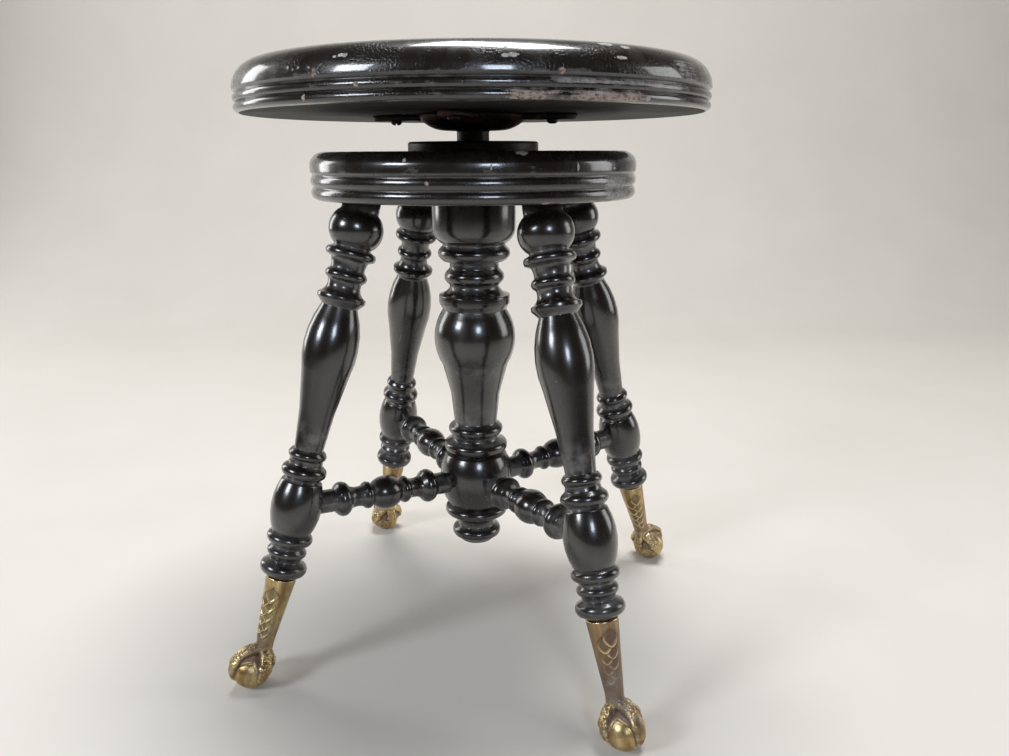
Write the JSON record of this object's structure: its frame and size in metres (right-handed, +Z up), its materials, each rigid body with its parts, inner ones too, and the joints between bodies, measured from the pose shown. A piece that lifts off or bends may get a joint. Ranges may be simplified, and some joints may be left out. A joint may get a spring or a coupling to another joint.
{
  "type": "revolving piano stool",
  "caption": "Round revolving piano stool: ebonised turned seat on a lift screw, splayed turned legs, stretchers and brass claw-and-ball feet.",
  "frame": {"origin": "on the floor, under the middle of the centre post", "axes": "+Z up along the lift screw; the legs stand at 45, 135, 225 and 315 degrees from +X about +Z"},
  "size_m": [0.356, 0.356, 0.477],
  "materials": {
    "ebonised_wood": "gloss black lacquer, worn",
    "brass": "aged",
    "cast_iron": "dark, rusty",
    "steel": "dark"
  },
  "bodies": {
    "base": {"nut_plate": "cast_iron", "nut_plate_screws": "steel", "platform": "ebonised_wood", "center_post": "ebonised_wood", "leg_back_right": "ebonised_wood", "stretcher_back_right": "ebonised_wood", "claw_foot_back_right": "brass", "leg_back_left": "ebonised_wood", "stretcher_back_left": "ebonised_wood", "claw_foot_back_left": "brass", "leg_front_left": "ebonised_wood", "stretcher_front_left": "ebonised_wood", "claw_foot_front_left": "brass", "leg_front_right": "ebonised_wood", "stretcher_front_right": "ebonised_wood", "claw_foot_front_right": "brass"},
    "screw_stop": {"stop_washer": "steel"},
    "seat": {"seat_top": "ebonised_wood", "seat_spider": "cast_iron", "spider_screws": "steel", "lift_screw": "cast_iron", "stop_pin": "steel"}
  },
  "joints": [
    {"name": "seat_lift", "type": "slide", "parent": "base", "child": "screw_stop", "axis": [0, 0, 1], "range_m": [-0.0073, 0.1147]},
    {"name": "seat_turn", "type": "hinge", "parent": "screw_stop", "child": "seat", "pos_m": [0, 0, 0.4313], "axis": [0, 0, 1], "range_deg": [-413, 6502]}
  ],
  "couplings": [
    {"joint": "seat_lift", "follows": "seat_turn", "m_per_rad": 0.0010106}
  ]
}
